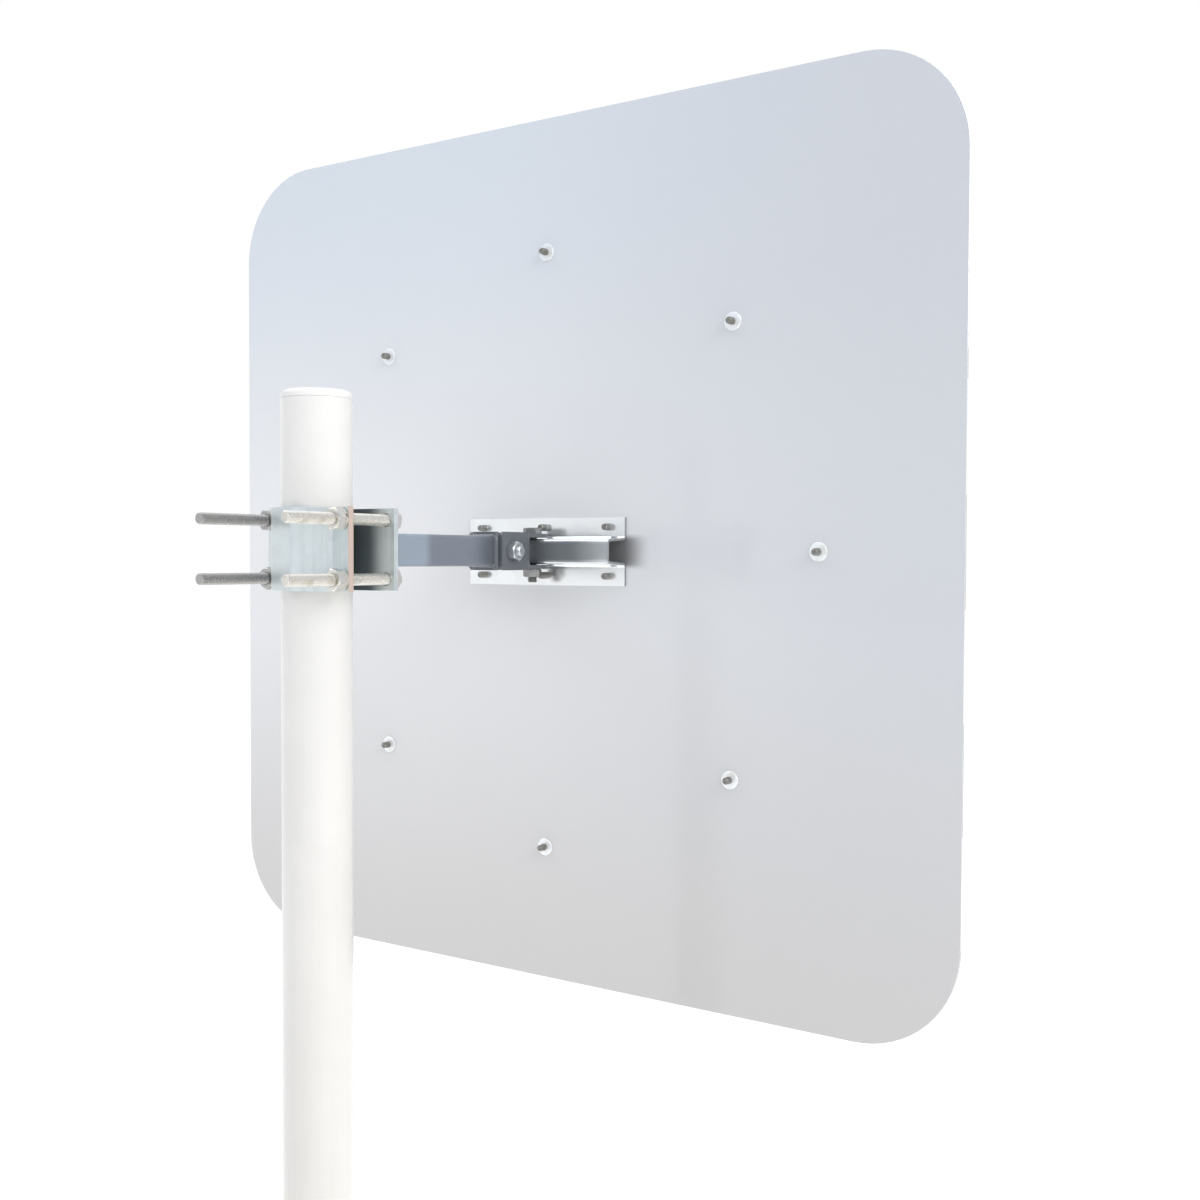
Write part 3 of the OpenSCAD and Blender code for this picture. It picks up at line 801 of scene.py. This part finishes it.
class TRAFFIC_MIRROR_OT_clamp_fasteners(Operator):
    """Four long bolts of the clamp, with their spring washers and nuts"""

    bl_idname = "traffic_mirror.clamp_fasteners"
    bl_label = "Clamp Bolts, Washers and Nuts"

    def execute(self, context):
        # Painted shade: the two far bolts, with their nuts and washers, are greyed
        def far_shade(finish):
            return finish.between(finish.axis("Y"), 20 * MM, 38 * MM)

        zinc = bright_zinc("bright zinc", colours().bolt, shaded=far_shade)
        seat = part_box("inner_jaw")[1].x
        bolts = solids("clamp_bolts")
        low, high = bolts[0]
        bolt = hex_bolt(seat - low.x, high.x - seat)
        places = facing_x(bolts, (8, 37, -14, 22), start=seat)
        placed(repeated(bolt, places), "clamp_screws", "arm", "bolt_zinc", zinc, "clamp_bolts")

        nuts = solids("clamp_nuts")
        low, high = nuts[0]
        nut = hex_nut(high.x - low.x)
        places = facing_x(nuts, (17, -9, 31, 3))
        placed(repeated(nut, places), "clamp_hex_nuts", "arm", "bolt_zinc", zinc, "clamp_nuts")

        rings = solids("clamp_washers")
        low, high = rings[0]
        radius = (high.y - low.y) / 2
        ring = spring_washer(radius, sizes().bolt_d / 2 + 0.05 * MM, high.x - low.x)
        places = facing_x(rings, (100, 250, 20, 160))
        placed(repeated(ring, places), "clamp_spring_washers", "arm", "bolt_zinc", zinc, "clamp_washers")
        return {"FINISHED"}


class TRAFFIC_MIRROR_OT_arm(Operator):
    """Square arm with its two welds and the yoke on its end"""

    bl_idname = "traffic_mirror.arm"
    bl_label = "Arm and Yoke"

    def execute(self, context):
        arm_low, arm_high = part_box("arm_tube")
        span = arm_high.x - arm_low.x

        # Painted light and shade: a paler tone beside the clamp is a painted reflection, and a darker tone before the
        # yoke is painted shade
        def toned(finish):
            from_clamp = finish.axis("X") - arm_low.x
            painted_reflection = 1.0 - finish.between(from_clamp, 84 * MM, 98 * MM)
            shade_by_yoke = finish.between(from_clamp, span - 38 * MM, span - 6 * MM)
            return [(painted_reflection, tinted(colours().arm, 1.55, 1.64, 1.6)), (shade_by_yoke * 0.85, shade(colours().arm, 0.42))]

        look = {"gloss": 0.24, "coat": 0.4, "peel": 0.35, "dirt": 0.15, "Metallic": 0.35}
        grey = painted("satin blue-grey paint", colours().arm, zones=toned, **look)
        # The yoke's dark grey paint is partly painted shade
        dark = painted("dark grey paint", colours().fork, gloss=0.42, coat=0.12, peel=0.55, dirt=0.25, Metallic=0.25)
        placed(refined("arm_tube", 0), "arm_bar", "arm", "arm_paint", grey, "arm_tube")
        placed(refined("arm_yoke"), "arm_end_yoke", "arm", "fork_paint", dark, "arm_yoke")
        for node, name, forward in (("arm_clamp_weld", "weld_at_clamp", 1), ("arm_yoke_weld", "weld_at_yoke", -1)):
            low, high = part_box(node)
            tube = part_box("arm_tube")
            half, round_r = (tube[1].y - tube[0].y) / 2, 4 * MM
            centre = middle(tube)
            start = low.x if forward > 0 else high.x
            leg = (high.y - low.y) / 2 - half
            along = Vector((forward, 0, 0))
            path = [
                (Vector((start, centre.y + p.x, centre.z + p.y)), Vector((0, n.x, n.y)), along)
                for p, n in self.outline(half, round_r)
            ]
            inner = 0.2 * MM
            height = high.x - low.x
            section = [(-inner, 0.0), (leg * 0.92, 0.0), (leg * 0.74, height * 0.3), (leg * 0.42, height * 0.55)]
            section += [(leg * 0.16, height * 0.78), (-inner, height * 0.92)]
            bead = weld_bead(path, section, 40, min(sizes().weld_ripple, 0.12 * leg))
            placed(bead, name, "arm", "arm_paint", grey, node)
        return {"FINISHED"}

    @staticmethod
    def outline(half, round_r, step=0.5 * MM):
        """Points and outward directions round a square tube with round corners."""
        found = []
        straight = half - round_r
        for k in range(4):
            turn = Matrix.Rotation(k * math.pi / 2, 2)
            for i in range(round(2 * straight / step)):
                found.append((turn @ Vector((half, -straight + i * step)), turn @ Vector((1, 0))))
            for i in range(12):
                a = i / 12 * math.pi / 2
                normal = Vector((math.cos(a), math.sin(a)))
                found.append((turn @ (Vector((straight, straight)) + normal * round_r), turn @ normal))
        return found


class TRAFFIC_MIRROR_OT_knuckle(Operator):
    """Two forks of the knuckle, their bolts and nuts, and the sleeves inside"""

    bl_idname = "traffic_mirror.knuckle"
    bl_label = "Knuckle"

    def execute(self, context):
        dark = painted("charcoal paint", shade(colours().fork, 0.8), gloss=0.44, coat=0.1, peel=0.6, dirt=0.3)
        placed(refined("tilt_fork"), "fork_tilt", "knuckle", "fork_paint", dark, "tilt_fork")
        placed(refined("pan_fork"), "fork_pan", "knuckle", "fork_paint", dark, "pan_fork")
        zinc = bright_zinc("blue zinc", tinted(colours().bolt, 0.86, 0.93, 1.04), gloss=0.28)
        # A darker zinc for the pan bolt and its nut
        toned = bright_zinc("worn zinc", tinted(colours().bolt, 0.42, 0.43, 0.45), gloss=0.32)
        head_h = HEAD_HEIGHT * sizes().bolt_d

        low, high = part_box("tilt_bolt")
        mid = middle((low, high))
        bolt = hex_bolt(high.y - head_h - low.y, head_h)
        place = Matrix.Translation((mid.x, high.y - head_h, mid.z)) @ Matrix.Rotation(-math.pi / 2, 4, "X")
        placed(repeated(bolt, [place]), "tilt_screw", "knuckle", "bolt_zinc", zinc, "tilt_bolt")
        low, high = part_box("tilt_nut")
        nut = hex_nut(high.y - low.y)
        place = Matrix.Translation((mid.x, high.y, mid.z)) @ Matrix.Rotation(math.pi / 2, 4, "X")
        place @= Matrix.Rotation(math.radians(12), 4, "Z")
        placed(repeated(nut, [place]), "tilt_hex_nut", "knuckle", "bolt_zinc", zinc, "tilt_nut")

        low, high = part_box("pan_bolt")
        mid = middle((low, high))
        bolt = hex_bolt(high.z - head_h - low.z, head_h)
        place = Matrix.Translation((mid.x, mid.y, high.z - head_h)) @ Matrix.Rotation(math.radians(24), 4, "Z")
        placed(repeated(bolt, [place]), "pan_screw", "knuckle", "bolt_zinc", toned, "pan_bolt")
        low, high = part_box("pan_nut")
        nut = hex_nut(high.z - low.z)
        place = Matrix.Translation((mid.x, mid.y, low.z)) @ Matrix.Rotation(math.radians(-8), 4, "Z")
        placed(repeated(nut, [place]), "pan_hex_nut", "knuckle", "bolt_zinc", toned, "pan_nut")
        coated("tilt_sleeve", zinc)
        coated("pan_sleeve", zinc)
        return {"FINISHED"}


class TRAFFIC_MIRROR_OT_rail(Operator):
    """Hat-section rail and the six rivets that hold it to the panel"""

    bl_idname = "traffic_mirror.rail"
    bl_label = "Rail and Rivets"

    def execute(self, context):
        rail_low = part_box("mount_rail")[0]

        # The web's dark tone is partly a darker finish and partly painted shade: darkest beside the knuckle, lighter
        # towards the far end. The cut end gets a painted dark line of shade.
        def shaded_web(finish):
            outward = finish.axis("Y") * -1.0
            web = 1.0 - finish.between(finish.axis("X"), rail_low.x + 0.6 * MM, rail_low.x + 2 * MM)
            fades = 0.9 - 0.4 * finish.between(outward, 55 * MM, -rail_low.y)
            shaded_end = finish.between(outward, -rail_low.y - 0.5 * MM, -rail_low.y - 0.2 * MM)
            return (web * finish.between(outward, -15 * MM, 12 * MM) * fades).most(shaded_end * 0.75)

        look = {"grain": 60, "metal": 0.92, "gloss": 0.16, "contrast": 0.04}
        dark = tinted(colours().rail, 0.09, 0.105, 0.12)
        zinc = galvanised("zinc of the rail", colours().rail, edge=dark, edge_and_shade_mask=shaded_web, **look)
        placed(refined("mount_rail", 0.3 * MM), "rail", "mirror_head", "rail_zinc", zinc, "mount_rail")
        steel = bright_zinc("rivet steel", colours().rivet, gloss=0.34, metal=0.9)
        rivets = solids("rail_rivets")
        tail_end = rivets[0][0].x
        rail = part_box("mount_rail")
        sheet = 2.5 * MM
        tail_r, head_r = 3.6 * MM, 4.75 * MM
        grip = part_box("back_panel")[1].x - (rail[1].x - sheet)
        rivet = blind_rivet(tail_r, rail[1].x - sheet - tail_end, grip, head_r)
        places = [
            Matrix.Translation((rail[1].x - sheet, middle(r).y, middle(r).z))
            @ ALONG_X
            @ Matrix.Rotation(0.3 * i, 4, "Z")
            for i, r in enumerate(rivets)
        ]
        placed(repeated(rivet, places), "rail_set_rivets", "mirror_head", "rivet_steel", steel, "rail_rivets")
        return {"FINISHED"}


class TRAFFIC_MIRROR_OT_panel(Operator):
    """Back panel, and the rivets that hold the mirror, with their washers"""

    bl_idname = "traffic_mirror.panel"
    bl_label = "Panel and Mirror Rivets"

    def execute(self, context):
        low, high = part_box("back_panel")
        lacquer = self.lacquer(low, high)
        placed(refined("back_panel", 0.4 * MM), "panel", "mirror_head", "panel_aluminium", lacquer, "back_panel")

        rings = solids("rivet_washers")
        thick, radius = rings[0][1].x - rings[0][0].x, (rings[0][1].z - rings[0][0].z) / 2
        bore, edge = 2.45 * MM, 0.35 * MM
        profile = [(bore, 0), (radius - edge, 0), (radius, edge), (radius, thick - edge), (radius - edge, thick)]
        profile += [(bore + edge, thick), (bore, thick - edge), (bore, 0)]
        ring = turned(profile, hollow=True)
        places = [Matrix.Translation((r[1].x, middle(r).y, middle(r).z)) @ ALONG_X.inverted() for r in rings]
        zinc = bright_zinc("washer zinc", shade(colours().rail, 0.98), gloss=0.34, metal=0.45)
        placed(repeated(smoothed(ring), places), "mirror_washers", "mirror_head", "rivet_steel", zinc, "rivet_washers")

        steel = bright_zinc("mirror rivet steel", colours().rivet, gloss=0.34, metal=0.9)
        rivets = solids("mirror_rivets")
        seat = rings[0][0].x
        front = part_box("retaining_ring")[1].x
        head_r = (rivets[0][1].z - rivets[0][0].z) / 2
        rivet = blind_rivet(3.6 * MM, seat - rivets[0][0].x, front - seat, head_r)
        places = [
            Matrix.Translation((seat, middle(r).y, middle(r).z)) @ ALONG_X @ Matrix.Rotation(0.5 * i, 4, "Z")
            for i, r in enumerate(rivets)
        ]
        placed(repeated(rivet, places), "mirror_set_rivets", "mirror_head", "rivet_steel", steel, "mirror_rivets")
        return {"FINISHED"}

    @staticmethod
    def lacquer(low, high):
        """Light grey lacquer on the back, white reflective sheeting with fine cells on the front. The back has painted
        light
        and shade as well: a painted sky reflection at the top, a painted ground reflection at the bottom, painted shade
        towards the low-Y side and painted shade in and past the rail's channel.
        """
        finish = Finish("panel lacquer", Coat_Roughness=0.04)
        front = finish.between(finish.axis("X"), low.x + 1.5 * MM, low.x + 1.8 * MM)
        base, white = tuple(colours().panel), tuple(colours().panel_front)
        broad = finish.between(finish.clouds(2.2, 3, 0.5), 0.3, 0.7)
        dust = finish.between(finish.clouds(420, 4, 0.7), 0.6, 0.78) * 0.1
        smudge = finish.between(finish.clouds(7, 5, 0.6, finish.stretched(1, 1, 0.45)), 0.52, 0.78)
        back = finish.blend(broad, shade(base, 0.985), shade(base, 1.015))
        # Painted reflection of the sky: bluer towards the top
        sky_reflection = finish.between(finish.axis("Z"), high.z - 0.45, high.z)
        back = finish.blend(sky_reflection * 0.8, back, tinted(base, 0.83, 0.89, 0.95))
        # Painted shade: darker and bluer towards the panel's low-Y side
        shaded_near_side = 1 - finish.between(finish.axis("Y"), low.y, 0.2)
        back = finish.blend(shaded_near_side, back, tinted(base, 0.76, 0.78, 0.81))
        # Painted reflection of the ground: darker and warmer towards the bottom
        painted_reflection = 1 - finish.between(finish.axis("Z"), low.z - 0.1, low.z + 0.5)
        back = finish.blend(painted_reflection * 0.9, back, tinted(base, 0.71, 0.68, 0.65))
        # Painted shade inside the rail's channel and a little past its end
        rail_low, rail_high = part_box("mount_rail")
        up = abs(finish.axis("Z") - (rail_low.z + rail_high.z) / 2)
        inside = 1 - finish.between(up, 12 * MM, 19 * MM)
        rail_shade_reach = 1 - finish.between(abs(finish.axis("Y")), -rail_low.y - 4 * MM, -rail_low.y + 30 * MM)
        back = finish.blend(inside * rail_shade_reach * 0.88, back, shade(base, 0.2))
        back = finish.blend(dust, back, shade(base, 0.75))
        back = finish.blend(smudge * 0.06, back, tinted(base, 0.8, 0.79, 0.76))
        comb = finish.cells(330, feature="DISTANCE_TO_EDGE", spread=0.25)
        line = 1 - finish.between(comb, 0.02, 0.09)
        sheeting = finish.blend(line * 0.25, white, shade(white, 0.8))
        finish.drive(
            Base_Color=finish.blend(front, back, sheeting),
            Roughness=0.16 + 0.1 * smudge + 0.18 * front,
            Coat_Weight=1.0 - 0.25 * smudge - 0.5 * front,
        )
        waves = finish.clouds(5, 2, 0.5) * 6 + finish.clouds(900, 2, 0.5) * 0.05
        return finish.rough(waves + line * front * 0.1, 0.25, 0.0006)


class TRAFFIC_MIRROR_OT_mirror(Operator):
    """Convex mirror with its ring, seal and the blocks round the border"""

    bl_idname = "traffic_mirror.mirror"
    bl_label = "Convex Mirror"

    def execute(self, context):
        silver = Finish("silvered acrylic", Metallic=1.0, Coat_Weight=1.0, Coat_Roughness=0.0)
        base = tuple(colours().mirror)
        haze = silver.between(silver.clouds(6, 5, 0.6), 0.5, 0.8)
        specks = silver.between(silver.clouds(500, 3, 0.7), 0.66, 0.8)
        silver.drive(Base_Color=silver.blend(specks * 0.15, base, shade(base, 0.6)), Roughness=0.015 + 0.05 * haze)
        silver.rough(silver.clouds(9, 2, 0.5), 0.05, 0.0004)
        placed(refined("mirror_dome", 0, smooth=25), "mirror_face", "mirror_head", "mirror_face", silver, "mirror_dome")
        plastic = moulded("ring plastic", colours().ring, gloss=0.45)
        ring = refined("retaining_ring", 0.8 * MM, segments=3)
        placed(ring, "ring", "mirror_head", "ring_plastic", plastic, "retaining_ring")
        coated("seal_ring", moulded("seal rubber", colours().rubber, gloss=0.7, grain=900))
        film = moulded("black film", colours().film, gloss=0.3, grain=330, depth=0.00008, Coat_Weight=0.4)
        coated("border_film", film)
        return {"FINISHED"}


class TRAFFIC_MIRROR_OT_stage(Operator):
    """Pale floor, soft light and the camera"""

    bl_idname = "traffic_mirror.stage"
    bl_label = "Floor, Light and Camera"

    def execute(self, context):
        floor = added(bpy.ops.mesh.primitive_plane_add, size=sizes().floor_side)
        with editing(floor):
            bpy.ops.mesh.subdivide(number_cuts=7)
        floor.name = "floor"
        pale = Finish("pale floor", Specular_IOR_Level=0.1)
        tone = pale.between(pale.clouds(3, 4, 0.6), 0.3, 0.7)
        pale.drive(Base_Color=pale.blend(tone, (0.9, 0.9, 0.9), (0.92, 0.92, 0.92)), Roughness=0.8 + 0.1 * tone)
        floor.data.materials.append(pale.material)
        self.world(context.scene)
        head = middle(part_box("back_panel"))
        for name, offset, side, watts in LAMPS:
            self.soft_box(name, head + offset, head, side, watts)
        self.camera(context.scene)
        return {"FINISHED"}

    @staticmethod
    def world(scene):
        """A plain surround: white in front of the mirror, a cool soft sky behind it, bright overhead."""
        scene.world = bpy.data.worlds.new("surround")
        scene.world.use_nodes = True
        sky = Nodes(scene.world.node_tree, "Generated")
        background = sky.tree.nodes["Background"]
        front = sky.between(sky.axis("X"), -0.35, 0.2)
        high = sky.between(sky.axis("Z"), 0.03, 0.3)
        behind = sky.blend(high, (0.9, 0.91, 0.92), (0.42, 0.5, 0.66))
        tone = sky.blend(front, behind, (1.0, 1.0, 1.0))
        overhead = sky.between(sky.axis("Z"), 0.42, 0.7)
        sky.tree.links.new(sky.blend(overhead, tone, (1.0, 1.0, 1.0)).socket, background.inputs["Color"])
        sky.tree.links.new((1.0 + 0.38 * overhead).socket, background.inputs["Strength"])
        scene.view_settings.view_transform = "Standard"

    @staticmethod
    def soft_box(name, place, target, side, watts):
        bpy.ops.object.light_add(type="AREA", location=place)
        lamp = bpy.context.object
        lamp.name, lamp.data.size, lamp.data.energy = name, side, watts
        lamp.rotation_euler = (target - place).to_track_quat("-Z", "Y").to_euler()

    @staticmethod
    def camera(scene):
        """Behind the mirror at eye level, turned so that the panel is seen at an angle."""
        back = middle(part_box("back_panel"))
        back.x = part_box("back_panel")[0].x
        bpy.ops.object.camera_add(location=back + EYE)
        camera = bpy.context.object
        forward = EYE_FORWARD.normalized()
        right = (EYE_RIGHT - forward * EYE_RIGHT.dot(forward)).normalized()
        up = right.cross(forward)
        camera.matrix_world = Matrix(
            [(right[i], up[i], -forward[i], camera.location[i]) for i in range(3)] + [(0, 0, 0, 1)]
        )
        camera.data.lens, camera.data.sensor_width = LENS, SENSOR
        camera.data.clip_start, camera.data.clip_end = 0.02, 200
        scene.camera = camera


PIECES = (
    TRAFFIC_MIRROR_OT_post,
    TRAFFIC_MIRROR_OT_base,
    TRAFFIC_MIRROR_OT_jaws,
    TRAFFIC_MIRROR_OT_clamp_fasteners,
    TRAFFIC_MIRROR_OT_arm,
    TRAFFIC_MIRROR_OT_knuckle,
    TRAFFIC_MIRROR_OT_rail,
    TRAFFIC_MIRROR_OT_panel,
    TRAFFIC_MIRROR_OT_mirror,
    TRAFFIC_MIRROR_OT_stage,
)


class TRAFFIC_MIRROR_PT_sidebar(Panel):
    """Sizes, colours and pieces of the traffic mirror"""

    bl_label = "Traffic Mirror"
    bl_space_type = "VIEW_3D"
    bl_region_type = "UI"
    bl_category = "Traffic Mirror"

    def draw(self, context):
        column = self.layout.column()
        for piece in PIECES:
            column.operator(piece.bl_idname)
        for group in (context.scene.traffic_mirror_sizes, context.scene.traffic_mirror_colours):
            column.separator()
            for name in group.bl_rna.properties.keys():
                if name not in {"rna_type", "name"}:
                    column.prop(group, name)


CLASSES = (TrafficMirrorSizes, TrafficMirrorColours, *PIECES, TRAFFIC_MIRROR_PT_sidebar)


def register():
    for made in CLASSES:
        bpy.utils.register_class(made)
    bpy.types.Scene.traffic_mirror_sizes = PointerProperty(type=TrafficMirrorSizes)
    bpy.types.Scene.traffic_mirror_colours = PointerProperty(type=TrafficMirrorColours)


def unregister():
    del bpy.types.Scene.traffic_mirror_colours
    del bpy.types.Scene.traffic_mirror_sizes
    for made in reversed(CLASSES):
        bpy.utils.unregister_class(made)


def main():
    register()
    for piece in PIECES:
        group, operator = piece.bl_idname.split(".")
        getattr(getattr(bpy.ops, group), operator)()


if __name__ == "__main__":
    main()
